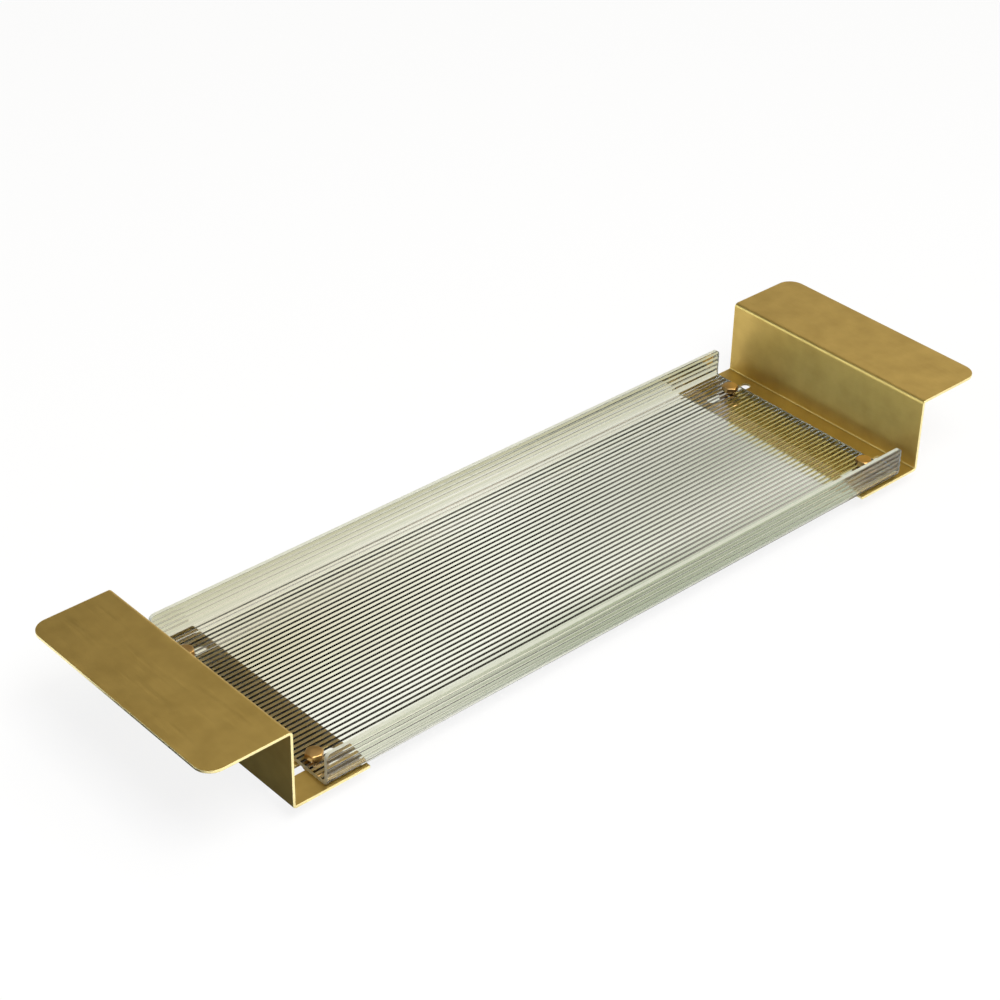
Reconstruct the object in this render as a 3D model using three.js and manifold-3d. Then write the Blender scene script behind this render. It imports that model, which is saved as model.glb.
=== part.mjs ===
// Bath caddy: a clear reeded tray, bolted to two sliding brass brackets that hook over a tub's rims.
// Millimetres. +X runs along the tray, +Y to its far side and +Z up.
// The origin is the middle of the footprint, level with the lower ends of the bolts.

import * as THREE from 'three';
import { mergeVertices } from 'three/addons/utils/BufferGeometryUtils.js';
import Module from 'manifold-3d';

const wasm = await Module();
wasm.setup();

// Tray: one acrylic sheet with ribs on its outside, bent into a channel
const TRAY_LENGTH = 540;
const TRAY_WIDTH = 190; // over the ribs of both side walls
const TRAY_HEIGHT = 25.4; // from the ribs under the floor to the top of the walls
const SHEET_THICKNESS = 3.2; // over the ribs
const RIB_PITCH = 4.22; // nearest pitch that puts a whole number of ribs round the channel
const RIB_DEPTH = 0.9;
const TRAY_BEND_RADIUS = 2; // inside the bends between floor and walls
const WALL_CORNER_RADIUS = 4; // upper corners of the walls, at both ends

// Brackets: brass sheet bent to a Z, with a lip outwards and a flange inwards
const BRASS_THICKNESS = 2;
const BRACKET_HEIGHT = 61; // over both bends
const LIP_DEPTH = 64; // from the wall's inner face
const FLANGE_DEPTH = 59; // from the wall's inner face
const BRACKET_OVERHANG = 0.5; // past the tray on each side
const BRACKET_BEND_RADIUS = 1; // inside the bends
const LIP_CORNER_RADIUS = 12.5;
const SLOT_TO_WALL = 6; // from the wall's inner face to the slot
const SLOT_TO_EDGE = 7; // from the slot to the flange's free edge

// How far each bracket is drawn out beyond the place where its bolts sit in the middle of the slots
const LEFT_DRAW = 6.5;
const RIGHT_DRAW = -1.1; // pushed in a little

// Bolts, nuts and washers
const BOLT_DIAMETER = 6.35;
const BOLT_TO_END = 10; // from the tray's end to the bolt's axis
const BOLT_TO_SIDE = 26.2; // from the tray's side to the bolt's axis
const BOLT_TIP = 3.3; // stands out below the nut
const TIP_CHAMFER = 0.8;
const HEX_FLATS = 11.1; // across the flats of heads and nuts
const HEX_CHAMFER = 0.65; // height of the turned chamfer at a hexagon's corners
const HEAD_HEIGHT = 4.1;
const NUT_HEIGHT = 5.6;
const WASHER_DIAMETER = 15.9;
const WASHER_THICKNESS = 1.6;
const BOLT_TURNS = [ // degrees, as each one was left when it was tightened
  ['left', 'front', 12],
  ['left', 'rear', 35],
  ['right', 'front', 25],
  ['right', 'rear', 48],
];

// Clearances
const HOLE_CLEARANCE = 0.7; // on the diameter, tray holes and washers round a bolt
const SLOT_CLEARANCE = 0.7; // on the width, slots round a bolt
const THREAD_CLEARANCE = 0.6; // on the diameter, nuts round a bolt
const SEAT_GAP = 0.1; // between pieces that are clamped together and slide when loosened

// Fineness of curves
const RIB_FACETS = 6;
const BEND_FACETS = 4;
const CORNER_FACETS = 8;
const ROUND_FACETS = 32;
const SHEET_SPANS = 3; // along the tray's sheet, so that the floor between the bolts is a face of its own
const MERGE_DISTANCE = 1e-4;

// Heights of the clamped stack, from the bolts' lower ends upwards
const nutBase = BOLT_TIP;
const washerBase = nutBase + NUT_HEIGHT + SEAT_GAP;
const flangeBase = washerBase + WASHER_THICKNESS + SEAT_GAP;
const trayBase = flangeBase + BRASS_THICKNESS + SEAT_GAP;
const headBase = trayBase + SHEET_THICKNESS + SEAT_GAP;

// Places along the tray
const slotMiddle = (SLOT_TO_WALL + FLANGE_DEPTH - SLOT_TO_EDGE) / 2;
const leftGap = slotMiddle + LEFT_DRAW - BOLT_TO_END; // tray's end to bracket's wall
const rightGap = slotMiddle + RIGHT_DRAW - BOLT_TO_END;
const innerSpan = leftGap + TRAY_LENGTH + rightGap; // between the two brackets' walls
const trayMiddle = (leftGap - rightGap) / 2;
const boltReach = TRAY_LENGTH / 2 - BOLT_TO_END; // from the tray's middle
const boltOffset = TRAY_WIDTH / 2 - BOLT_TO_SIDE;

// Turns a closed three.js geometry into a solid that can be cut and joined
function toSolid(geometry) {
  const shell = new THREE.BufferGeometry();
  shell.setAttribute('position', geometry.getAttribute('position'));
  shell.setIndex(geometry.getIndex());
  const merged = mergeVertices(shell, MERGE_DISTANCE);
  const corners = merged.getIndex().array;
  const triangles = [];
  for (let first = 0; first < corners.length; first += 3) {
    const [a, b, c] = corners.slice(first, first + 3);
    if (a !== b && b !== c && c !== a) {
      triangles.push(a, b, c);
    }
  }
  return new wasm.Manifold(new wasm.Mesh({
    numProp: 3,
    vertProperties: new Float32Array(merged.getAttribute('position').array),
    triVerts: new Uint32Array(triangles),
  }));
}

function toGeometry(solid) {
  const mesh = solid.getMesh();
  const geometry = new THREE.BufferGeometry();
  geometry.setAttribute('position', new THREE.BufferAttribute(mesh.vertProperties, mesh.numProp));
  geometry.setIndex(new THREE.BufferAttribute(mesh.triVerts, 1));
  geometry.computeVertexNormals();
  return geometry;
}

// Extrudes a shape drawn in two axes of the model along the third one, centred on it
const ALONG_X = new THREE.Matrix4().makeBasis(
  new THREE.Vector3(0, 1, 0), new THREE.Vector3(0, 0, 1), new THREE.Vector3(1, 0, 0));
const ALONG_Y = new THREE.Matrix4().makeBasis(
  new THREE.Vector3(1, 0, 0), new THREE.Vector3(0, 0, 1), new THREE.Vector3(0, -1, 0));
const ALONG_Z = new THREE.Matrix4();

function extrude(shape, length, direction, facets, spans = 1) {
  const geometry = new THREE.ExtrudeGeometry(shape, {
    depth: length,
    bevelEnabled: false,
    curveSegments: facets,
    steps: spans,
  });
  geometry.translate(0, 0, -length / 2);
  geometry.applyMatrix4(direction);
  return toSolid(geometry);
}

// Turns a profile of [radius, height] points about the Z axis
function revolve(points) {
  const profile = points.map(([radius, height]) => new THREE.Vector2(radius, height));
  const geometry = new THREE.LatheGeometry(profile, ROUND_FACETS);
  geometry.rotateX(Math.PI / 2);
  return toSolid(geometry);
}

function drill(diameter, length, x, y, z) {
  const radius = diameter / 2;
  const geometry = new THREE.CylinderGeometry(radius, radius, length, ROUND_FACETS);
  geometry.rotateX(Math.PI / 2);
  geometry.translate(x, y, z);
  return toSolid(geometry);
}

// Tray

const outerBend = TRAY_BEND_RADIUS + SHEET_THICKNESS;
const wallRun = TRAY_HEIGHT - outerBend;
const bendRun = outerBend * Math.PI / 2;
const floorRun = TRAY_WIDTH - 2 * outerBend;

// Point on the tray's outside, at a distance along it from the middle of the floor and a depth below the ribs
function skinPoint(distance, depth) {
  const side = Math.sign(distance);
  const along = Math.abs(distance);
  const radius = outerBend - depth;
  if (along <= floorRun / 2) {
    return new THREE.Vector2(distance, depth);
  }
  if (along < floorRun / 2 + bendRun) {
    const angle = (along - floorRun / 2) / outerBend;
    const across = floorRun / 2 + radius * Math.sin(angle);
    return new THREE.Vector2(side * across, outerBend - radius * Math.cos(angle));
  }
  const height = outerBend + along - floorRun / 2 - bendRun;
  return new THREE.Vector2(side * (TRAY_WIDTH / 2 - depth), height);
}

// Cross-section of the bent sheet: round ribs outside, smooth inside
function traySection() {
  const skinRun = 2 * wallRun + 2 * bendRun + floorRun;
  const ribs = Math.round(skinRun / RIB_PITCH);
  const pitch = skinRun / ribs;
  const inside = TRAY_WIDTH / 2 - SHEET_THICKNESS;
  const bendSide = inside - TRAY_BEND_RADIUS;
  const bendHeight = SHEET_THICKNESS + TRAY_BEND_RADIUS;
  const section = new THREE.Shape();
  let groove = skinPoint(-skinRun / 2, RIB_DEPTH);
  section.moveTo(groove.x, groove.y);
  for (let rib = 0; rib < ribs; rib += 1) {
    const start = -skinRun / 2 + rib * pitch;
    const nextGroove = skinPoint(start + pitch, RIB_DEPTH);
    const crown = skinPoint(start + pitch / 2, 0);
    const middle = groove.clone().add(nextGroove).divideScalar(2);
    const control = crown.multiplyScalar(2).sub(middle);
    section.quadraticCurveTo(control.x, control.y, nextGroove.x, nextGroove.y);
    groove = nextGroove;
  }
  section.lineTo(inside, TRAY_HEIGHT);
  section.absarc(bendSide, bendHeight, TRAY_BEND_RADIUS, 0, -Math.PI / 2, true);
  section.absarc(-bendSide, bendHeight, TRAY_BEND_RADIUS, -Math.PI / 2, -Math.PI, true);
  section.lineTo(-inside, TRAY_HEIGHT);
  section.closePath();
  return section;
}

// Side view of the tray, with the upper corners of the wall ends rounded off
function traySideView() {
  const end = TRAY_LENGTH / 2;
  const turn = end - WALL_CORNER_RADIUS;
  const turnHeight = TRAY_HEIGHT - WALL_CORNER_RADIUS;
  const view = new THREE.Shape();
  view.moveTo(-end, -TRAY_HEIGHT);
  view.lineTo(end, -TRAY_HEIGHT);
  view.absarc(turn, turnHeight, WALL_CORNER_RADIUS, 0, Math.PI / 2);
  view.absarc(-turn, turnHeight, WALL_CORNER_RADIUS, Math.PI / 2, Math.PI);
  view.closePath();
  return view;
}

function makeTray() {
  const sheet = extrude(traySection(), 2 * TRAY_LENGTH, ALONG_X, RIB_FACETS, SHEET_SPANS);
  let tray = sheet.intersect(extrude(traySideView(), 2 * TRAY_WIDTH, ALONG_Y, CORNER_FACETS));
  for (const x of [-boltReach, boltReach]) {
    for (const y of [-boltOffset, boltOffset]) {
      tray = tray.subtract(drill(BOLT_DIAMETER + HOLE_CLEARANCE, 2 * TRAY_HEIGHT, x, y, 0));
    }
  }
  return tray;
}

// Bracket, drawn for the right end: X from the wall's inner face outwards, Z from the flange's underside

const bracketWidth = TRAY_WIDTH + 2 * BRACKET_OVERHANG;
const bracketBendOuter = BRACKET_BEND_RADIUS + BRASS_THICKNESS;

// The sheet's edge, seen from the front
function bracketProfile() {
  const lowBend = BRASS_THICKNESS + BRACKET_BEND_RADIUS;
  const highBend = BRACKET_HEIGHT - lowBend;
  const lipUnderside = BRACKET_HEIGHT - BRASS_THICKNESS;
  const right = Math.PI / 2;
  const profile = new THREE.Shape();
  profile.moveTo(-FLANGE_DEPTH, 0);
  profile.lineTo(-BRACKET_BEND_RADIUS, 0);
  profile.absarc(-BRACKET_BEND_RADIUS, lowBend, bracketBendOuter, -right, 0);
  profile.absarc(lowBend, highBend, BRACKET_BEND_RADIUS, 2 * right, right, true);
  profile.lineTo(LIP_DEPTH, lipUnderside);
  profile.lineTo(LIP_DEPTH, BRACKET_HEIGHT);
  profile.absarc(lowBend, highBend, bracketBendOuter, right, 2 * right);
  profile.absarc(-BRACKET_BEND_RADIUS, lowBend, BRACKET_BEND_RADIUS, 0, -right, true);
  profile.lineTo(-FLANGE_DEPTH, BRASS_THICKNESS);
  profile.closePath();
  return profile;
}

function slotOutline(y) {
  const radius = (BOLT_DIAMETER + SLOT_CLEARANCE) / 2;
  const inner = -FLANGE_DEPTH + SLOT_TO_EDGE + radius;
  const outer = -SLOT_TO_WALL - radius;
  const outline = new THREE.Path();
  outline.absarc(outer, y, radius, -Math.PI / 2, Math.PI / 2);
  outline.absarc(inner, y, radius, Math.PI / 2, Math.PI * 3 / 2);
  outline.closePath();
  return outline;
}

// The bracket's outline from above, with round lip corners and the slots
function bracketPlan() {
  const side = bracketWidth / 2;
  const turn = LIP_DEPTH - LIP_CORNER_RADIUS;
  const turnSide = side - LIP_CORNER_RADIUS;
  const plan = new THREE.Shape();
  plan.moveTo(-FLANGE_DEPTH, -side);
  plan.lineTo(turn, -side);
  plan.absarc(turn, -turnSide, LIP_CORNER_RADIUS, -Math.PI / 2, 0);
  plan.absarc(turn, turnSide, LIP_CORNER_RADIUS, 0, Math.PI / 2);
  plan.lineTo(-FLANGE_DEPTH, side);
  plan.closePath();
  plan.holes.push(slotOutline(-boltOffset), slotOutline(boltOffset));
  return plan;
}

function makeBracket() {
  const sheet = extrude(bracketProfile(), 2 * bracketWidth, ALONG_Y, BEND_FACETS);
  const blank = extrude(bracketPlan(), 3 * BRACKET_HEIGHT, ALONG_Z, CORNER_FACETS);
  return sheet.intersect(blank);
}

// Bolts, nuts and washers, on the Z axis with their lower ends at zero

const hexCorner = HEX_FLATS / Math.sqrt(3);
const chamferRadius = hexCorner - HEX_CHAMFER * Math.sqrt(3);

function hexBar(height) {
  const outline = new THREE.Shape();
  for (let corner = 0; corner < 6; corner += 1) {
    const angle = corner * Math.PI / 3;
    outline.lineTo(hexCorner * Math.cos(angle), hexCorner * Math.sin(angle));
  }
  outline.closePath();
  return extrude(outline, height, ALONG_Z, 1).translate([0, 0, height / 2]);
}

function makeBolt() {
  const radius = BOLT_DIAMETER / 2;
  const chamfered = revolve([
    [0, 0],
    [hexCorner, 0],
    [hexCorner, HEAD_HEIGHT - HEX_CHAMFER],
    [chamferRadius, HEAD_HEIGHT],
    [0, HEAD_HEIGHT],
  ]);
  const shank = revolve([
    [0, 0],
    [radius - TIP_CHAMFER, 0],
    [radius, TIP_CHAMFER],
    [radius, headBase + HEAD_HEIGHT / 2],
    [0, headBase + HEAD_HEIGHT / 2],
  ]);
  const head = hexBar(HEAD_HEIGHT).intersect(chamfered);
  return head.translate([0, 0, headBase]).add(shank);
}

function makeNut() {
  const chamfered = revolve([
    [0, 0],
    [chamferRadius, 0],
    [hexCorner, HEX_CHAMFER],
    [hexCorner, NUT_HEIGHT - HEX_CHAMFER],
    [chamferRadius, NUT_HEIGHT],
    [0, NUT_HEIGHT],
  ]);
  const bore = drill(BOLT_DIAMETER + THREAD_CLEARANCE, 3 * NUT_HEIGHT, 0, 0, 0);
  return hexBar(NUT_HEIGHT).intersect(chamfered).subtract(bore);
}

function makeWasher() {
  const inner = (BOLT_DIAMETER + HOLE_CLEARANCE) / 2;
  const outer = WASHER_DIAMETER / 2;
  return revolve([
    [inner, 0],
    [outer, 0],
    [outer, WASHER_THICKNESS],
    [inner, WASHER_THICKNESS],
    [inner, 0],
  ]);
}

// Materials

const acrylic = () => new THREE.MeshStandardMaterial({
  color: 0xdfe3da,
  roughness: 0.08,
  metalness: 0,
  transparent: true,
  opacity: 0.4,
});
const satinBrass = () => new THREE.MeshStandardMaterial({ color: 0xa88c4c, roughness: 0.38, metalness: 1 });
const plainBrass = () => new THREE.MeshStandardMaterial({ color: 0xa3722c, roughness: 0.3, metalness: 1 });

// Assembly

const caddy = new THREE.Group();
caddy.name = 'bath_caddy';

function place(parent, name, solid, material, x, y, z) {
  const mesh = new THREE.Mesh(toGeometry(solid), material);
  mesh.name = name;
  mesh.position.set(x, y, z);
  parent.add(mesh);
  return mesh;
}

place(caddy, 'tray', makeTray(), acrylic(), trayMiddle, 0, trayBase);

const bracket = makeBracket();
place(caddy, 'right_bracket', bracket, satinBrass(), innerSpan / 2, 0, flangeBase);
const leftBracket = place(caddy, 'left_bracket', bracket, satinBrass(), -innerSpan / 2, 0, flangeBase);
leftBracket.rotation.z = Math.PI;

const bolt = makeBolt();
const nut = makeNut();
const washer = makeWasher();
for (const [end, side, turn] of BOLT_TURNS) {
  const x = end === 'left' ? -boltReach : boltReach;
  const y = side === 'front' ? -boltOffset : boltOffset;
  const fastener = new THREE.Group();
  fastener.position.set(trayMiddle + x, y, 0);
  fastener.rotation.z = THREE.MathUtils.degToRad(turn);
  place(fastener, `bolt_${end}_${side}`, bolt, plainBrass(), 0, 0, 0);
  place(fastener, `washer_${end}_${side}`, washer, plainBrass(), 0, 0, washerBase);
  place(fastener, `nut_${end}_${side}`, nut, plainBrass(), 0, 0, nutBase);
  caddy.add(fastener);
}

export default caddy;
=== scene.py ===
import math

import bmesh
import bpy
from mathutils import Matrix, Vector


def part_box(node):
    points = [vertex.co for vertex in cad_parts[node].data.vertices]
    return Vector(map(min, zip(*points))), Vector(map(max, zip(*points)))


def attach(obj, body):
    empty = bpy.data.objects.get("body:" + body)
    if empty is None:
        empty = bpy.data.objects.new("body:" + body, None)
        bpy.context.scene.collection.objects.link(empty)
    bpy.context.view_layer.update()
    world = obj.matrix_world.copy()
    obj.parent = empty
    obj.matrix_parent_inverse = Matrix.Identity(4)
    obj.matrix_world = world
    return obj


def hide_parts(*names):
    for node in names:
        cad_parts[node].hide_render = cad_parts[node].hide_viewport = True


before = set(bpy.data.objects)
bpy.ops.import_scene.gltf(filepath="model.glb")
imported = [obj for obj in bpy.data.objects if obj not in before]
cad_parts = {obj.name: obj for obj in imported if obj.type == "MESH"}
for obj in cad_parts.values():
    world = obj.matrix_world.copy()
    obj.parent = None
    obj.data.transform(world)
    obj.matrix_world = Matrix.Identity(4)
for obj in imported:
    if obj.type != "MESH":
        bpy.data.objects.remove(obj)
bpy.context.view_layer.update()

# Sizes, in metres
MM = 0.001
INCH = 25.4 * MM
TOUCH = 0.001 * MM
NEAR = 0.1 * MM
WELD = 0.001 * MM
FLAT_MARGIN = 0.3 * MM

# How much of a face's normal lies along an axis, to tell which face it is
SQUARE_ON = 0.9
STRIP_SIDE = 0.3
STRIP_END = 0.4
SAWN_END = 0.03

# The tray: one reeded sheet, bent up along both long sides
SHEET = 3.2 * MM
RIB_COUNT = 56
RIB_DEPTH = 0.50 * MM
RIB_FACETS = 16
TRAY_BEND = 2 * MM
TRAY_BEND_FACETS = 8
WALL_CORNER = 4 * MM
WALL_CORNER_FACETS = 12
BOLT_HOLE = 7.05 * MM

# The brackets: brass strip, bent twice
BRASS = 2 * MM
BRACKET_BEND = 1 * MM
BRACKET_BEND_FACETS = 8
LIP_DEPTH = 64 * MM
LIP_CORNER = 12.5 * MM
LIP_CORNER_FACETS = 16
SLOT_WIDTH = 7.05 * MM
SLOT_TO_WALL = 6 * MM
SLOT_TO_EDGE = 7 * MM
BURR_BREAK = 0.22 * MM
BEND_ZONE = 4 * MM

# The bolts, nuts and washers: quarter inch brass
SHANK = 6.35 * MM
ROUND_SIDES = 96
HEX_FLATS = 11.1 * MM
HEX_CORNERS = HEX_FLATS / math.cos(math.pi / 6)
HEX_FACE = 10.566 * MM
HEX_SLOPE = math.radians(30)
HEX_TURNING = 0.6 * MM
HEX_BREAK = 0.12 * MM
HEAD_HEIGHT = 4.1 * MM
TIP_CHAMFER = 0.8 * MM
THREAD_PITCH = INCH / 20
THREAD_DEPTH = 0.36 * MM
THREAD_TURNS = 7
THREAD_RUNOUT = 0.8
THREAD_START = 0.2 * THREAD_PITCH
THREAD_STEPS = 36
TOOTH_ROOT = 0.47 * THREAD_PITCH
TOOTH_CREST = 0.07 * THREAD_PITCH
TOOTH_SINK = 0.08 * MM
TOOTH_PROUD = 0.02 * MM
NUT_BORE = 6.95 * MM
WASHER_HOLE = 7.05 * MM
WASHER_ROLL = 0.25 * MM
# How far each bolt happens to be turned, in degrees
HEAD_TURN = {"left_front": 12, "left_rear": 35, "right_front": 25, "right_rear": 48}

# The studio's floor. A glow is the share of plain white that a ray sees: the camera's own, a mirrored
# one, or one that came through the acrylic. A dark patch of painted shade beside the left bracket shows
# only in mirrors, where it darkens the left bracket's outer wall. A pale painted pool of light, with painted
# shadows under the near wall, at the right end and, warm, at the far left, shows only through the acrylic.
# A shade is its middle, reach, soft edge and tone.
WHITE = (1, 1, 1)
FLOOR_SIZE = 60
FLOOR_TONE = (0.9, 0.9, 0.9)
PAINTED_MIRROR_SHADE_TONE = (0.015, 0.015, 0.015)
PAINTED_MIRROR_SHADE_MIDDLE = (-0.37, -0.02)
PAINTED_MIRROR_SHADE_REACH = (0.11, 0.13)
PAINTED_MIRROR_SHADE_EDGE = (0.8, 1.1)
CAMERA_GLOW = 0.86
MIRROR_GLOW = 0.03
THROUGH_GLOW = 1.0
PAINTED_LIGHT_POOL_MIDDLE = (0.10, 0.0)
PAINTED_LIGHT_POOL_REACH = (0.80, 0.15)
PAINTED_LIGHT_POOL_EDGE = (0.5, 1.05)
PAINTED_LIGHT_POOL_TONES = ((1.0, 0.995, 0.95), (0.72, 0.71, 0.58))
SHADES = (((0.12, -0.088), (0.42, 0.05), (0.4, 1.0), (0.42, 0.47, 0.36)),
          ((0.22, 0.02), (0.22, 0.12), (0.0, 1.0), (0.50, 0.53, 0.46)),
          ((-0.22, 0.05), (0.22, 0.09), (0.0, 1.0), (0.72, 0.66, 0.50)))

# The studio's sky: its tones by height, the side on which they are bright, and soft glows, each
# with its direction, the cosines at which it begins and is full, and its tone
LOW_BAND = ((0.0, (1.0, 0.96, 0.88)), (0.18, (0.90, 0.86, 0.78)), (0.40, (0.08, 0.070, 0.045)),
            (0.60, (0.055, 0.046, 0.028)), (1.0, (0.02, 0.019, 0.017)))
BAND_BRIGHT_SIDE = (0.7, 0.71, 0.0)
BAND_SPREAD = (-0.6, 0.6)
BAND_TINTS = ((0.22, 0.20, 0.17), (1.0, 1.0, 1.0))
GLOWS = (((0.530, -0.120, 0.840), 0.85, 0.93, (1.9, 1.75, 1.45)),
         ((0.823, 0.381, 0.422), 0.93, 0.985, (0.75, 0.72, 0.65)),
         ((-0.810, 0.565, 0.150), 0.88, 0.96, (2.7, 3.3, 4.1)))

# The studio's lamps
KEY_PLACE = (-0.25, -1.1, 2.1)
KEY_SIZE = 1.3
KEY_POWER = 52
FILL_PLACE = (0.84, 0.96, 2.04)
FILL_SIZE = 0.8
FILL_POWER = 1.5

# The photograph's view
SENSOR = 36
LENS = 87.452
VIEW_FROM = (-0.963678, -1.010144, 1.002702)
VIEW_YAW = 0.74064
VIEW_PITCH = 0.59307
VIEW_ROLL = 0.02098

# The colour sockets of a mix node
MIX_COLOURS = (6, 7)
MIX_RESULT = 2

# Places of the further finishes on a piece
FROSTED = 1
REEDED = 2
SAWN_STRIP = 1

# Finishes, each in two tones. The brass's grain is its roughness, how fine the brush lines are along
# X, Y and Z, and how strongly they stand out.
CLOUD_SCALE = 55
CLOUD_DETAIL = 7
CLOUD_SHARE = (0.1, 0.9)
BRUSH_DETAIL = 3
BRUSH_DEPTH = 0.02 * MM
SATIN = ((0.50, 0.345, 0.095), (0.62, 0.438, 0.130))
SATIN_GRAIN = ((0.42, 0.52), (2600, 40, 2600), 0.16)
SAWN = ((0.93, 0.80, 0.40), (0.98, 0.88, 0.48))
SAWN_GRAIN = ((0.22, 0.34), (300, 300, 1500), 0.1)
TURNED = ((0.60, 0.36, 0.12), (0.74, 0.47, 0.18))
TURNED_GRAIN = ((0.28, 0.40), (400, 400, 2500), 0.15)
ACRYLIC_IOR = 1.49
ACRYLIC = ((0.98, 0.985, 0.965), (0.95, 0.965, 0.92))
ACRYLIC_TINT = (0.74, 0.73, 0.50, 1)
ACRYLIC_DENSITY = 8.0
SMEAR_SCALE = 14
SMEAR_DETAIL = 4
SMEAR_STRETCH = (1, 3, 3)
POLISH = (0.01, 0.045)
REED_POLISH = (0.01, 0.04)
FROST = ((0.62, 0.64, 0.53), (0.76, 0.77, 0.66))
FROST_CLEARNESS = 0.3
FROST_ROUGH = (0.40, 0.55)
FROST_SCALE = 900
FROST_DETAIL = 3
FROST_BUMP = 0.2
FROST_DEPTH = 0.05 * MM

ENDS = ("left", "right")
SIDES = ("front", "rear")


def corners_of(node):
    """A node's lowest and highest corners."""
    return [Vector(corner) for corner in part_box(node)]


def centre_of(node):
    """The middle of a node's box."""
    low, high = corners_of(node)
    return (low + high) / 2


# Ways of working

def open_piece(piece):
    """Puts one piece on the bench: edit mode, nothing selected."""
    bpy.ops.object.select_all(action="DESELECT")
    piece.select_set(True)
    bpy.context.view_layer.objects.active = piece
    bpy.ops.object.mode_set(mode="EDIT")
    bpy.ops.mesh.select_all(action="DESELECT")


def close_piece():
    """Takes the piece off the bench."""
    bpy.ops.object.mode_set(mode="OBJECT")


def pick_faces(piece, test):
    """Selects the faces whose middle and normal pass a test."""
    bpy.ops.mesh.select_mode(type="FACE")
    mesh = bmesh.from_edit_mesh(piece.data)
    for face in mesh.faces:
        face.select_set(test(face.calc_center_median(), face.normal))
    bmesh.update_edit_mesh(piece.data)


def pick_edges(piece, test):
    """Selects the edges whose two ends pass a test."""
    bpy.ops.mesh.select_mode(type="EDGE")
    bpy.ops.mesh.select_all(action="DESELECT")
    mesh = bmesh.from_edit_mesh(piece.data)
    for edge in mesh.edges:
        edge.select_set(test(edge.verts[0].co, edge.verts[1].co))
    bmesh.update_edit_mesh(piece.data)


def pull(step):
    """Extrudes what is selected by a step."""
    bpy.ops.mesh.extrude_region_move(TRANSFORM_OT_translate={"value": step})


def pull_flat(step):
    """Extrudes a flat with a narrow strip at each end, so that bends don't shade into it."""
    step = Vector(step)
    margin = step.normalized() * FLAT_MARGIN
    pull(margin)
    pull(step - 2 * margin)
    pull(margin)


def face_outwards():
    """Welds the piece on the bench and turns its faces outwards."""
    bpy.ops.mesh.select_all(action="SELECT")
    bpy.ops.mesh.remove_doubles(threshold=WELD)
    bpy.ops.mesh.normals_make_consistent(inside=False)


def settle(piece):
    """Puts a piece's place, turn and scale into its mesh."""
    bpy.ops.object.select_all(action="DESELECT")
    piece.select_set(True)
    bpy.context.view_layer.objects.active = piece
    bpy.ops.object.transform_apply(location=True, rotation=True, scale=True)


def block(name, low, high):
    """A rectangular block between two corners."""
    low, high = Vector(low), Vector(high)
    bpy.ops.object.select_all(action="DESELECT")
    bpy.ops.mesh.primitive_cube_add(size=1, location=(low + high) / 2, scale=high - low)
    piece = bpy.context.object
    piece.name = name
    settle(piece)
    return piece


def rod(name, diameter, base, height, sides=64):
    """An upright rod on a point."""
    middle = Vector(base) + Vector((0, 0, height / 2))
    bpy.ops.object.select_all(action="DESELECT")
    bpy.ops.mesh.primitive_cylinder_add(vertices=sides, radius=diameter / 2, depth=height, location=middle)
    piece = bpy.context.object
    piece.name = name
    settle(piece)
    return piece


def apply_modifier(piece, modifier):
    """Makes a modifier's result the piece's own shape."""
    bpy.ops.object.select_all(action="DESELECT")
    piece.select_set(True)
    bpy.context.view_layer.objects.active = piece
    bpy.ops.object.modifier_apply(modifier=modifier.name)


def carve(piece, tool, operation="DIFFERENCE"):
    """Cuts a piece with a tool, or joins or keeps what they share, and drops the tool."""
    cut = piece.modifiers.new("carve", "BOOLEAN")
    cut.operation = operation
    cut.solver = "EXACT"
    cut.object = tool
    apply_modifier(piece, cut)
    bpy.data.objects.remove(tool)


def break_edges(piece, width, segments=2, angle=50):
    """Takes the sharpness off a piece's edges."""
    bevel = piece.modifiers.new("break", "BEVEL")
    bevel.width = width
    bevel.segments = segments
    bevel.limit_method = "ANGLE"
    bevel.angle_limit = math.radians(angle)
    bevel.harden_normals = False
    apply_modifier(piece, bevel)


def smooth(piece, angle=20):
    """Shades a piece smooth except at its real edges."""
    bpy.ops.object.select_all(action="DESELECT")
    piece.select_set(True)
    bpy.context.view_layer.objects.active = piece
    bpy.ops.object.shade_smooth_by_angle(angle=math.radians(angle))


def mark(piece, finish, test):
    """Gives the faces that pass a test one of the piece's further finishes."""
    while len(piece.data.materials) <= finish:
        piece.data.materials.append(None)
    open_piece(piece)
    pick_faces(piece, test)
    piece.active_material_index = finish
    bpy.ops.object.material_slot_assign()
    close_piece()


def copy_to(piece, name, place, turn=0):
    """A copy of a piece with its own mesh, turned about Z and moved."""
    bpy.ops.object.select_all(action="DESELECT")
    piece.select_set(True)
    bpy.context.view_layer.objects.active = piece
    bpy.ops.object.duplicate(linked=False)
    copy = bpy.context.object
    copy.name = name
    copy.rotation_euler = (0, 0, turn)
    copy.location = place
    settle(copy)
    return copy


# The tray

def skin_point(distance, depth, width):
    """A point (y, z) by its distance along the outer skin from the floor's middle, and its depth in."""
    outer = TRAY_BEND + SHEET
    floor_run = width - 2 * outer
    bend_run = outer * math.pi / 2
    along = abs(distance)
    side = 1 if distance >= 0 else -1
    if along <= floor_run / 2:
        return Vector((side * along, depth))
    if along <= floor_run / 2 + bend_run:
        turn = (along - floor_run / 2) / outer
        radius = outer - depth
        return Vector((side * (floor_run / 2 + radius * math.sin(turn)), outer - radius * math.cos(turn)))
    return Vector((side * (width / 2 - depth), outer + along - floor_run / 2 - bend_run))


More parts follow.
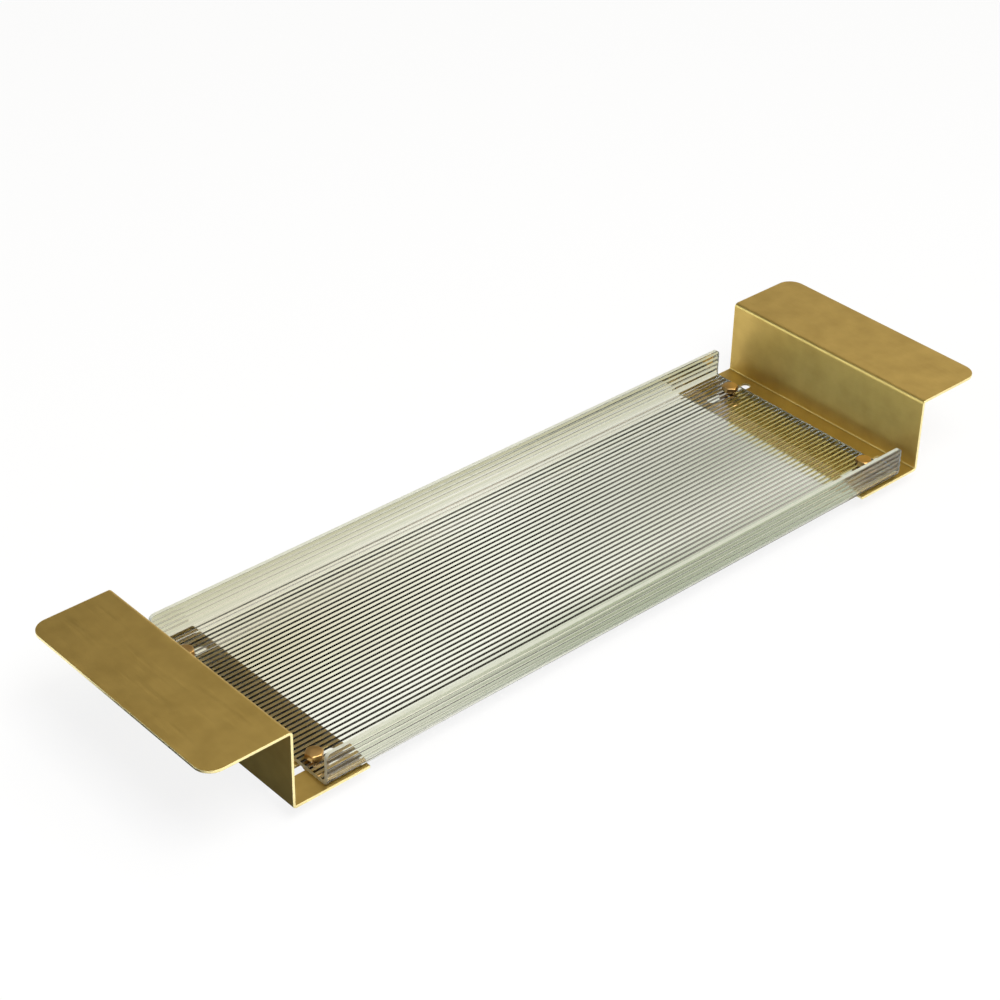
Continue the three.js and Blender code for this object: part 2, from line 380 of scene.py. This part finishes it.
def section_points(width, height):
    """The closed outline of the bent sheet: ribs outside, smooth inside."""
    outer = TRAY_BEND + SHEET
    skin = width - 2 * outer + outer * math.pi + 2 * (height - outer)
    pitch = skin / RIB_COUNT
    points = []
    for rib in range(RIB_COUNT):
        for facet in range(RIB_FACETS):
            share = facet / RIB_FACETS
            depth = RIB_DEPTH * abs(2 * share - 1)
            points.append(skin_point(-skin / 2 + pitch * (rib + share), depth, width))
    points.append(skin_point(skin / 2, RIB_DEPTH, width))
    inside = width / 2 - SHEET
    half = [Vector((inside, height)), Vector((inside, outer + FLAT_MARGIN))]
    for facet in range(TRAY_BEND_FACETS + 1):
        turn = math.pi / 2 * facet / TRAY_BEND_FACETS
        across = inside - TRAY_BEND + TRAY_BEND * math.cos(turn)
        half.append(Vector((across, outer - TRAY_BEND * math.sin(turn))))
    half.append(Vector((inside - TRAY_BEND - FLAT_MARGIN, SHEET)))
    return points + half + [Vector((-point.x, point.y)) for point in reversed(half)]


def trace(name, points):
    """Draws a closed outline by pulling one corner from point to point, and fills it."""
    bpy.ops.object.select_all(action="DESELECT")
    bpy.ops.mesh.primitive_plane_add(size=MM)
    piece = bpy.context.object
    piece.name = name
    open_piece(piece)
    bpy.ops.mesh.select_all(action="SELECT")
    bpy.ops.mesh.merge(type="CENTER")
    bpy.ops.transform.translate(value=points[0])
    for here, there in zip(points, points[1:] + points[:1]):
        pull(there - here)
    bpy.ops.mesh.select_all(action="SELECT")
    bpy.ops.mesh.remove_doubles(threshold=WELD)
    bpy.ops.mesh.edge_face_add()
    return piece


def make_tray():
    """The reeded sheet: its section pulled along, wall ends rounded, holes drilled, cut edges frosted."""
    low, high = corners_of("tray")
    middle = (low + high) / 2
    size = high - low
    section = section_points(size.y, size.z)
    outline = [Vector((low.x, middle.y + point.x, low.z + point.y)) for point in section]
    tray = trace("reeded_tray", outline)
    pull((size.x, 0, 0))
    face_outwards()
    close_piece()

    ends = block("end_shape", (low.x, low.y - SHEET, low.z - SHEET), (high.x, high.y + SHEET, high.z))
    open_piece(ends)
    pick_edges(ends, lambda a, b: min(a.z, b.z) > high.z - MM and abs(a.x - b.x) < MM)
    bpy.ops.mesh.bevel(offset=WALL_CORNER, segments=WALL_CORNER_FACETS, affect="EDGES")
    close_piece()
    carve(tray, ends, "INTERSECT")

    for end in ENDS:
        for side in SIDES:
            axis = centre_of("bolt_%s_%s" % (end, side))
            carve(tray, rod("drill", BOLT_HOLE, (axis.x, axis.y, low.z - SHEET), 3 * SHEET))
    inside = size.y / 2 - SHEET
    mark(tray, REEDED, lambda at, normal: at.z < high.z - TOUCH and (
        at.z < low.z + SHEET - TOUCH or abs(at.y - middle.y) > inside + TOUCH))
    mark(tray, FROSTED, lambda at, normal: at.z > high.z - TOUCH or (
        abs(normal.x) > SAWN_END and not low.x + WALL_CORNER < at.x < high.x - WALL_CORNER))
    smooth(tray)
    return tray


# The brackets

def make_right_bracket():
    """The strip: flange, bend, wall, bend and lip, then its round corners, slots and broken edges."""
    low, high = corners_of("right_bracket")
    lip_end, flange_end = high.x, low.x
    wall = lip_end - LIP_DEPTH
    inner_bend_x = wall - BRACKET_BEND
    outer_bend_x = wall + BRASS + BRACKET_BEND
    bracket = block("right_bracket_strip", (flange_end, low.y, low.z),
                    (inner_bend_x - FLAT_MARGIN, high.y, low.z + BRASS))
    open_piece(bracket)
    low_axis = low.z + BRASS + BRACKET_BEND
    high_axis = high.z - BRASS - BRACKET_BEND
    pick_faces(bracket, lambda at, normal: normal.x > SQUARE_ON)
    pull((FLAT_MARGIN, 0, 0))
    bpy.ops.mesh.spin(steps=BRACKET_BEND_FACETS, angle=math.pi / 2,
                      center=(inner_bend_x, 0, low_axis), axis=(0, 1, 0))
    pull_flat((0, 0, high_axis - low_axis))
    bpy.ops.mesh.spin(steps=BRACKET_BEND_FACETS, angle=-math.pi / 2,
                      center=(outer_bend_x, 0, high_axis), axis=(0, 1, 0))
    pull((FLAT_MARGIN, 0, 0))
    pull((lip_end - outer_bend_x - FLAT_MARGIN, 0, 0))
    face_outwards()
    pick_edges(bracket, lambda a, b: min(a.x, b.x) > lip_end - NEAR and abs(a.y - b.y) < NEAR)
    bpy.ops.mesh.bevel(offset=LIP_CORNER, segments=LIP_CORNER_FACETS, affect="EDGES")
    face_outwards()
    close_piece()

    for side in SIDES:
        axis = centre_of("bolt_right_" + side)
        carve(bracket, slot_cutter(wall - SLOT_TO_WALL, flange_end + SLOT_TO_EDGE, axis.y, low.z))
    break_edges(bracket, BURR_BREAK)
    mark(bracket, SAWN_STRIP, lambda at, normal: abs(normal.y) > STRIP_SIDE or (
        abs(normal.z) < STRIP_END and abs(at.x - wall) >= BEND_ZONE))
    smooth(bracket)
    return bracket


def slot_cutter(wall_end, free_end, y, z):
    """A round rod drawn out to a slot between its two ends."""
    radius = SLOT_WIDTH / 2
    cutter = rod("slot", SLOT_WIDTH, (wall_end - radius, y, z - BRASS), 3 * BRASS)
    open_piece(cutter)
    bpy.ops.mesh.select_mode(type="VERT")
    mesh = bmesh.from_edit_mesh(cutter.data)
    for corner in mesh.verts:
        corner.select_set(corner.co.x < wall_end - radius + WELD)
    bmesh.update_edit_mesh(cutter.data)
    bpy.ops.transform.translate(value=(free_end - wall_end + SLOT_WIDTH, 0, 0))
    close_piece()
    return cutter


# The bolts, nuts and washers

def pull_in(piece, level, rise, share):
    """Draws a bar's end face on by a rise and shrinks it, for a sloped end."""
    pick_faces(piece, lambda at, normal: abs(at.z - level) < TOUCH and abs(normal.z) > SQUARE_ON)
    pull((0, 0, rise))
    bpy.ops.transform.resize(value=(share, share, 1), center_override=(0, 0, level + rise))


def hex_bar(name, base, top, both_ends):
    """A six sided bar with its corners turned down at the top, or at both ends."""
    bar = rod(name, HEX_CORNERS, (0, 0, base), top - base, sides=6)
    round_size = HEX_CORNERS + HEX_TURNING
    rise = (round_size - HEX_FACE) / 2 * math.tan(HEX_SLOPE)
    share = HEX_FACE / round_size
    foot = base + rise if both_ends else base
    blank = rod("turned_blank", round_size, (0, 0, foot), top - rise - foot, sides=ROUND_SIDES)
    open_piece(blank)
    pull_in(blank, top - rise, rise, share)
    if both_ends:
        pull_in(blank, foot, -rise, share)
    face_outwards()
    close_piece()
    carve(bar, blank, "INTERSECT")
    return bar


def thread_ridge(name, base):
    """The raised helix of a thread: one tooth, wound up round the bolt and closed at both ends."""
    root = SHANK / 2 - THREAD_DEPTH - TOOTH_SINK
    crest = SHANK / 2 + TOOTH_PROUD
    tooth = [Vector((root, 0, base - TOOTH_ROOT)), Vector((crest, 0, base - TOOTH_CREST)),
             Vector((crest, 0, base + TOOTH_CREST)), Vector((root, 0, base + TOOTH_ROOT))]
    ridge = trace(name, tooth)
    bpy.ops.mesh.delete(type="ONLY_FACE")
    close_piece()
    winding = ridge.modifiers.new("winding", "SCREW")
    winding.axis = "Z"
    winding.angle = 2 * math.pi
    winding.screw_offset = THREAD_PITCH
    winding.iterations = THREAD_TURNS
    winding.steps = winding.render_steps = THREAD_STEPS
    winding.use_normal_calculate = False
    apply_modifier(ridge, winding)
    open_piece(ridge)
    bpy.ops.mesh.select_mode(type="EDGE")
    bpy.ops.mesh.select_non_manifold()
    bpy.ops.mesh.edge_face_add()
    face_outwards()
    close_piece()
    return ridge


def make_bolt():
    """A hexagon bolt on the Z axis: head, plain shank, threaded end with a chamfered tip."""
    low, high = corners_of("bolt_left_front")
    head_base = high.z - HEAD_HEIGHT
    plain_from = low.z + (THREAD_TURNS + THREAD_RUNOUT) * THREAD_PITCH
    bolt = rod("bolt", SHANK - 2 * THREAD_DEPTH, (0, 0, low.z), plain_from + MM - low.z)
    carve(bolt, thread_ridge("thread", low.z + THREAD_START), "UNION")
    blank = rod("chamfered_blank", SHANK, (0, 0, low.z + TIP_CHAMFER), head_base - low.z, sides=ROUND_SIDES)
    open_piece(blank)
    pull_in(blank, low.z + TIP_CHAMFER, -TIP_CHAMFER, 1 - 2 * TIP_CHAMFER / SHANK)
    face_outwards()
    close_piece()
    carve(bolt, blank, "INTERSECT")
    plain = rod("plain_shank", SHANK, (0, 0, plain_from), head_base + MM - plain_from, sides=ROUND_SIDES)
    carve(bolt, plain, "UNION")
    head = hex_bar("head", head_base, high.z, both_ends=False)
    break_edges(head, HEX_BREAK, angle=20)
    carve(bolt, head, "UNION")
    smooth(bolt)
    return bolt


def make_nut():
    """A hexagon nut on the Z axis, both its ends chamfered."""
    low, high = corners_of("nut_left_front")
    nut = hex_bar("nut", low.z, high.z, both_ends=True)
    carve(nut, rod("bore", NUT_BORE, (0, 0, low.z - MM), high.z - low.z + 2 * MM, sides=ROUND_SIDES))
    break_edges(nut, HEX_BREAK, angle=20)
    smooth(nut)
    return nut


def make_washer():
    """A flat washer on the Z axis, its stamped edges rolled over."""
    low, high = corners_of("washer_left_front")
    washer = rod("washer", high.x - low.x, (0, 0, low.z), high.z - low.z, sides=ROUND_SIDES)
    carve(washer, rod("hole", WASHER_HOLE, (0, 0, low.z - MM), high.z - low.z + 2 * MM, sides=ROUND_SIDES))
    break_edges(washer, WASHER_ROLL, segments=3)
    smooth(washer)
    return washer


# Finishes

def add_node(material, kind, inputs=None, **settings):
    """Adds a shading node, with its values set and its links made."""
    node = material.node_tree.nodes.new(kind)
    for name, value in settings.items():
        setattr(node, name, value)
    for name, value in (inputs or {}).items():
        if isinstance(value, bpy.types.NodeSocket):
            material.node_tree.links.new(value, node.inputs[name])
        else:
            node.inputs[name].default_value = value
    return node


def new_finish(name):
    """An empty material."""
    material = bpy.data.materials.new(name)
    material.use_nodes = True
    material.node_tree.nodes.clear()
    return material


def surface(material, shader, volume=None):
    """Joins a shader to the material's output."""
    inputs = {"Surface": shader}
    if volume:
        inputs["Volume"] = volume
    add_node(material, "ShaderNodeOutputMaterial", inputs)


def noise(material, scale, detail=2.0, stretch=(1, 1, 1)):
    """A noise on the piece's own coordinates, stretched where asked."""
    place = add_node(material, "ShaderNodeTexCoord").outputs["Object"]
    drawn = add_node(material, "ShaderNodeMapping", {"Vector": place, "Scale": stretch}).outputs["Vector"]
    inputs = {"Vector": drawn, "Scale": scale, "Detail": detail}
    return add_node(material, "ShaderNodeTexNoise", inputs).outputs["Fac"]


def spread(material, value, low, high, from_low=0.3, from_high=0.7):
    """Spreads a value over a range."""
    inputs = {"Value": value, "From Min": from_low, "From Max": from_high, "To Min": low, "To Max": high}
    return add_node(material, "ShaderNodeMapRange", inputs).outputs["Result"]


def blend(material, share, first, second):
    """A colour between two colours."""
    mix = add_node(material, "ShaderNodeMix", {"Factor": share}, data_type="RGBA")
    for socket, colour in zip(MIX_COLOURS, (first, second)):
        if isinstance(colour, bpy.types.NodeSocket):
            material.node_tree.links.new(colour, mix.inputs[socket])
        else:
            mix.inputs[socket].default_value = (*colour, 1)
    return mix.outputs[MIX_RESULT]


def brass(name, tones, grain):
    """Brass with fine brush lines and soft clouds of tarnish."""
    rough, streak, bump = grain
    material = new_finish(name)
    lines = noise(material, 1, BRUSH_DETAIL, streak)
    clouds = noise(material, CLOUD_SCALE, CLOUD_DETAIL)
    share = spread(material, clouds, *CLOUD_SHARE)
    tone = blend(material, share, *tones)
    roughness = spread(material, lines, *rough)
    relief = add_node(material, "ShaderNodeBump", {
        "Height": lines, "Strength": bump, "Distance": BRUSH_DEPTH})
    shader = add_node(material, "ShaderNodeBsdfPrincipled", {
        "Base Color": tone, "Metallic": 1.0, "Roughness": roughness, "Normal": relief.outputs["Normal"]})
    surface(material, shader.outputs["BSDF"])
    return material


def make_acrylic(name, rough):
    """Clear acrylic, faintly olive through its thickness, with a few soft smears on its faces."""
    material = new_finish(name)
    smears = noise(material, SMEAR_SCALE, SMEAR_DETAIL, SMEAR_STRETCH)
    tone = blend(material, spread(material, smears, 0, 1), *ACRYLIC)
    roughness = spread(material, smears, *rough)
    shader = add_node(material, "ShaderNodeBsdfPrincipled", {
        "Base Color": tone, "Roughness": roughness, "IOR": ACRYLIC_IOR, "Transmission Weight": 1.0})
    tint = add_node(material, "ShaderNodeVolumeAbsorption", {
        "Color": ACRYLIC_TINT, "Density": ACRYLIC_DENSITY})
    surface(material, shader.outputs["BSDF"], tint.outputs["Volume"])
    return material


def make_frosted_edge():
    """The acrylic's sawn edges: a little clear underneath, but matt and pale."""
    material = new_finish("frosted_acrylic_edge")
    grain = noise(material, FROST_SCALE, FROST_DETAIL)
    tone = blend(material, grain, *FROST)
    roughness = spread(material, grain, *FROST_ROUGH)
    relief = add_node(material, "ShaderNodeBump", {
        "Height": grain, "Strength": FROST_BUMP, "Distance": FROST_DEPTH})
    shader = add_node(material, "ShaderNodeBsdfPrincipled", {
        "Base Color": tone, "Roughness": roughness, "IOR": ACRYLIC_IOR,
        "Transmission Weight": FROST_CLEARNESS, "Normal": relief.outputs["Normal"]})
    surface(material, shader.outputs["BSDF"])
    return material


def fit(piece, body, node, slot, *finishes):
    """Puts a piece on its body in the place of its CAD node, with its finish."""
    while len(piece.data.materials) < len(finishes):
        piece.data.materials.append(None)
    for index, finish in enumerate(finishes):
        piece.data.materials[index] = finish
    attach(piece, body)
    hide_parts(node)


# The studio

def reckon(material, operation, first, second):
    """A value reckoned from two others."""
    return add_node(material, "ShaderNodeMath", {0: first, 1: second}, operation=operation).outputs["Value"]


def far_from(material, place, middle, reach, edge):
    """How far a point lies out of an oval patch of the floor: 0 inside its soft edge, 1 outside."""
    offset = (-middle[0] / reach[0], -middle[1] / reach[1], 0)
    scale = (1 / reach[0], 1 / reach[1], 1)
    patch = add_node(material, "ShaderNodeMapping", {"Vector": place, "Location": offset, "Scale": scale})
    out = add_node(material, "ShaderNodeVectorMath", {0: patch.outputs["Vector"]}, operation="LENGTH")
    return spread(material, out.outputs["Value"], 0, 1, *edge)


def make_floor():
    """A plain white floor that keeps the caddy's shadow, with painted shade for mirrors and a painted pool
    of light and painted shadows seen through the acrylic.
    """
    bpy.ops.object.select_all(action="DESELECT")
    bpy.ops.mesh.primitive_plane_add(size=FLOOR_SIZE)
    floor = bpy.context.object
    floor.name = "studio_floor"
    material = new_finish("white_floor")
    rays = add_node(material, "ShaderNodeLightPath").outputs
    share = reckon(material, "MULTIPLY", rays["Is Camera Ray"], CAMERA_GLOW)
    for ray, glow in (("Is Glossy Ray", MIRROR_GLOW), ("Is Transmission Ray", THROUGH_GLOW)):
        share = reckon(material, "MAXIMUM", share, reckon(material, "MULTIPLY", rays[ray], glow))
    place = add_node(material, "ShaderNodeTexCoord").outputs["Object"]
    # Painted shade: a dark patch on the floor beside the left bracket that only mirrored rays see
    outside_painted_mirror_shade = far_from(material, place, PAINTED_MIRROR_SHADE_MIDDLE, PAINTED_MIRROR_SHADE_REACH, PAINTED_MIRROR_SHADE_EDGE)
    painted_mirror_shade = blend(material, outside_painted_mirror_shade, PAINTED_MIRROR_SHADE_TONE, FLOOR_TONE)
    paint = blend(material, rays["Is Glossy Ray"], FLOOR_TONE, painted_mirror_shade)
    lit = add_node(material, "ShaderNodeBsdfDiffuse", {"Color": paint})
    # Painted light and shade: rays through the acrylic see a painted pool of light and painted shadows,
    # given off as glow
    painted_light_and_shade_below_tray = blend(material, far_from(material, place, PAINTED_LIGHT_POOL_MIDDLE, PAINTED_LIGHT_POOL_REACH, PAINTED_LIGHT_POOL_EDGE), *PAINTED_LIGHT_POOL_TONES)
    for middle, reach, edge, tone in SHADES:
        painted_light_and_shade_below_tray = blend(material, far_from(material, place, middle, reach, edge), tone, painted_light_and_shade_below_tray)
    tone = blend(material, rays["Is Transmission Ray"], WHITE, painted_light_and_shade_below_tray)
    glow = add_node(material, "ShaderNodeEmission", {"Color": tone, "Strength": 1.0})
    top = add_node(material, "ShaderNodeMixShader", {0: share, 1: lit.outputs[0], 2: glow.outputs[0]})
    below = add_node(material, "ShaderNodeBsdfTransparent")
    side = add_node(material, "ShaderNodeNewGeometry").outputs["Backfacing"]
    both = add_node(material, "ShaderNodeMixShader", {0: side, 1: top.outputs[0], 2: below.outputs[0]})
    surface(material, both.outputs[0])
    floor.data.materials.append(material)


def make_world():
    """A dim studio, white to the camera, with a pale band low down and round soft glows."""
    world = bpy.data.worlds.new("studio")
    bpy.context.scene.world = world
    world.use_nodes = True
    world.node_tree.nodes.clear()
    way = add_node(world, "ShaderNodeTexCoord").outputs["Generated"]
    height = add_node(world, "ShaderNodeSeparateXYZ", {0: way}).outputs["Z"]
    ramp = add_node(world, "ShaderNodeValToRGB", {"Fac": height})
    stops = ramp.color_ramp.elements
    for index, (position, colour) in enumerate(LOW_BAND):
        stop = stops[index] if index < 2 else stops.new(position)
        stop.position = position
        stop.color = (*colour, 1)
    facing = add_node(world, "ShaderNodeVectorMath", {0: way, 1: BAND_BRIGHT_SIDE}, operation="DOT_PRODUCT")
    tint = blend(world, spread(world, facing.outputs["Value"], 0, 1, *BAND_SPREAD), *BAND_TINTS)
    band = add_node(world, "ShaderNodeVectorMath", {0: ramp.outputs["Color"], 1: tint}, operation="MULTIPLY")
    dome = band.outputs["Vector"]
    for side, edge, core, tone in GLOWS:
        towards = add_node(world, "ShaderNodeVectorMath", {0: way, 1: side}, operation="DOT_PRODUCT")
        inputs = {"Value": towards.outputs["Value"], "From Min": edge, "From Max": core}
        share = add_node(world, "ShaderNodeMapRange", inputs, interpolation_type="SMOOTHSTEP")
        dome = blend(world, share.outputs["Result"], dome, tone)
    rays = add_node(world, "ShaderNodeLightPath").outputs
    backdrop = blend(world, rays["Is Camera Ray"], dome, WHITE)
    sky = add_node(world, "ShaderNodeBackground", {"Color": backdrop, "Strength": 1.0})
    add_node(world, "ShaderNodeOutputWorld", {"Surface": sky.outputs[0]})


def soft_box(name, place, size, power):
    """A square soft lamp that faces the caddy."""
    lamp = bpy.data.lights.new(name, "AREA")
    lamp.shape = "SQUARE"
    lamp.size = size
    lamp.energy = power
    stand = bpy.data.objects.new(name, lamp)
    bpy.context.scene.collection.objects.link(stand)
    stand.location = place
    stand.rotation_euler = (-Vector(place)).to_track_quat("-Z", "Y").to_euler()


def make_camera():
    """The photograph's view."""
    lens = bpy.data.cameras.new("view")
    lens.sensor_width = SENSOR
    lens.lens = LENS
    camera = bpy.data.objects.new("view", lens)
    bpy.context.scene.collection.objects.link(camera)
    level = Vector((math.sin(VIEW_YAW), math.cos(VIEW_YAW), 0))
    forward = math.cos(VIEW_PITCH) * level - math.sin(VIEW_PITCH) * Vector((0, 0, 1))
    right = Vector((math.cos(VIEW_YAW), -math.sin(VIEW_YAW), 0))
    up = right.cross(forward)
    across = math.cos(VIEW_ROLL) * right + math.sin(VIEW_ROLL) * up
    upright = math.cos(VIEW_ROLL) * up - math.sin(VIEW_ROLL) * right
    turn = Matrix((across, upright, -forward)).transposed().to_4x4()
    camera.matrix_world = Matrix.Translation(VIEW_FROM) @ turn
    bpy.context.scene.camera = camera


# Putting it together

def make_caddy():
    """Makes every piece, and puts each on its body with its finish."""
    polished = make_acrylic("polished_acrylic", POLISH)
    reeded = make_acrylic("reeded_acrylic", REED_POLISH)
    satin = brass("satin_brass_strip", SATIN, SATIN_GRAIN)
    sawn = brass("sawn_brass_edge", SAWN, SAWN_GRAIN)
    turned = brass("turned_bolt_brass", TURNED, TURNED_GRAIN)

    fit(make_tray(), "tray", "tray", "acrylic", polished, make_frosted_edge(), reeded)
    right = make_right_bracket()
    left = copy_to(right, "left_bracket_strip", (0, 0, 0), math.pi)
    fit(right, "right_bracket", "right_bracket", "satin_brass", satin, sawn)
    fit(left, "left_bracket", "left_bracket", "satin_brass", satin, sawn)
    fasteners = (("bolt", make_bolt(), "bolt"), ("nut", make_nut(), "nut"), ("washer", make_washer(), "nut"))
    for kind, model, body in fasteners:
        for end in ENDS:
            for side in SIDES:
                corner = "%s_%s" % (end, side)
                axis = centre_of("bolt_" + corner)
                copy = copy_to(model, "%s_%s_brass" % (kind, corner), (axis.x, axis.y, 0),
                               math.radians(HEAD_TURN[corner]))
                fit(copy, "%s_%s" % (body, corner), "%s_%s" % (kind, corner), "bolt_brass", turned)
        bpy.data.objects.remove(model)


make_camera()
make_world()
make_floor()
soft_box("key_soft_box", KEY_PLACE, KEY_SIZE, KEY_POWER)
soft_box("fill_soft_box", FILL_PLACE, FILL_SIZE, FILL_POWER)
make_caddy()
bpy.context.scene.view_settings.view_transform = "Standard"
